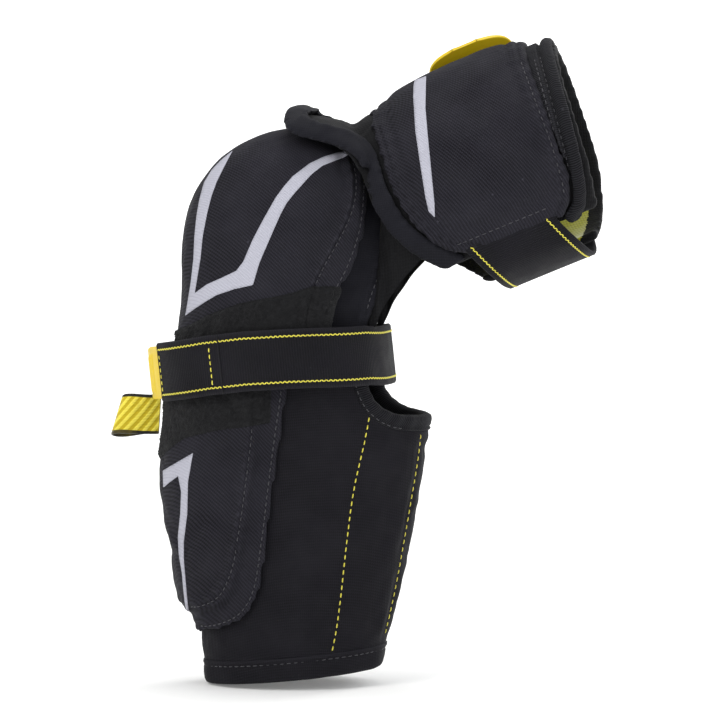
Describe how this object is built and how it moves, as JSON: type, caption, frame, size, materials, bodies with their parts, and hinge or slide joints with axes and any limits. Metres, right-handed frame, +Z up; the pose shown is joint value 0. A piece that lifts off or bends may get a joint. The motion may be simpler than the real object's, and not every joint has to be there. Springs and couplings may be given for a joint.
{
  "type": "ice hockey elbow pad",
  "caption": "Ice hockey elbow pad with a forearm sleeve and guard, a capped elbow, a hinged upper-arm guard, hook-and-loop straps and a pull loop.",
  "frame": {"origin": "on the ground under the middle of the pad's bounding box; the elbow axis is the line y = -0.0021 m direction +Y through x = -0.0280 m, z = 0.2269 m", "axes": "+Z up, from the cuff to the elbow; +X the way the upper arm points; +Y along the elbow's bending axis, towards the inner side of the arm (the camera side is -Y)"},
  "size_m": [0.2532, 0.1184, 0.3386],
  "materials": {
    "black_neoprene": "fabric-faced neoprene, matt",
    "binding_tape": "ribbed folded tape",
    "black_twill": "diagonal twill weave, matt",
    "white_polyethylene": "moulded polyethylene, satin",
    "foam": "closed-cell foam, matt",
    "loop_pile": "brushed nylon loop",
    "black_knit": "knitted polyester over foam, matt",
    "elastic": "woven elastic with yellow edge stitching",
    "lime_lining": "brushed knit lining",
    "charcoal_knit": "smooth brushed knit, matt",
    "hook_tape": "moulded nylon hooks",
    "yellow_tpu": "soft moulded grip, satin",
    "yellow_webbing": "striped woven webbing, black edges"
  },
  "bodies": {
    "forearm": {"forearm_sleeve": "black_neoprene", "sleeve_hem": "black_neoprene", "crease_binding": "binding_tape", "forearm_guard_cover": "black_twill", "forearm_guard_plate": "white_polyethylene", "forearm_guard_foam": "foam", "forearm_loop_patch": "loop_pile", "elbow_side_pad": "black_knit", "elbow_gusset": "black_knit", "elbow_foam_ring": "foam", "elbow_cap_cover": "black_twill", "elbow_cap_shell": "white_polyethylene", "elbow_cap_foam": "foam", "cap_loop_patch": "loop_pile", "elbow_strap_anchor": "elastic"},
    "upper_arm": {"bicep_liner": "lime_lining", "bicep_collar_roll": "charcoal_knit", "bicep_guard_cover": "black_twill", "bicep_guard_plate": "white_polyethylene", "bicep_guard_foam": "foam", "bicep_edge_binding": "binding_tape", "bicep_loop_patch": "loop_pile", "bicep_strap_anchor": "elastic"},
    "elbow_strap": {"elbow_strap_band": "elastic"},
    "elbow_strap_tip": {"elbow_strap_end": "elastic", "elbow_strap_hook": "hook_tape", "elbow_strap_tab": "yellow_tpu"},
    "bicep_strap": {"bicep_strap_band": "elastic"},
    "bicep_strap_tip": {"bicep_strap_end": "elastic", "bicep_strap_hook": "hook_tape", "bicep_strap_tab": "yellow_tpu"},
    "loop": {"pull_loop": "yellow_webbing"}
  },
  "joints": [
    {"name": "elbow_flex", "type": "hinge", "parent": "forearm", "child": "upper_arm", "pos_m": [-0.02796, -0.00213, 0.22693], "axis": [0, 1, 0], "range_deg": [-45, 35]},
    {"name": "elbow_strap_open", "type": "hinge", "parent": "forearm", "child": "elbow_strap", "pos_m": [0.01117, -0.04163, 0.17004], "axis": [-0.1045, 0, 0.9945], "range_deg": [0, 100]},
    {"name": "elbow_strap_peel", "type": "hinge", "parent": "elbow_strap", "child": "elbow_strap_tip", "pos_m": [-0.0655, -0.05308, 0.16198], "axis": [-0.1045, 0, 0.9945], "range_deg": [0, 70]},
    {"name": "bicep_strap_open", "type": "hinge", "parent": "upper_arm", "child": "bicep_strap", "pos_m": [0.10244, -0.00213, 0.21394], "axis": [-0.9239, 0, -0.3827], "range_deg": [0, 100]},
    {"name": "bicep_strap_peel", "type": "hinge", "parent": "bicep_strap", "child": "bicep_strap_tip", "pos_m": [0.07335, 0.05827, 0.28416], "axis": [-0.9239, 0, -0.3827], "range_deg": [0, 70]},
    {"name": "pull_loop_swing", "type": "hinge", "parent": "forearm", "child": "loop", "pos_m": [-0.10256, 0.00587, 0.13833], "axis": [0, 0, 1], "range_deg": [-30, 30]}
  ]
}
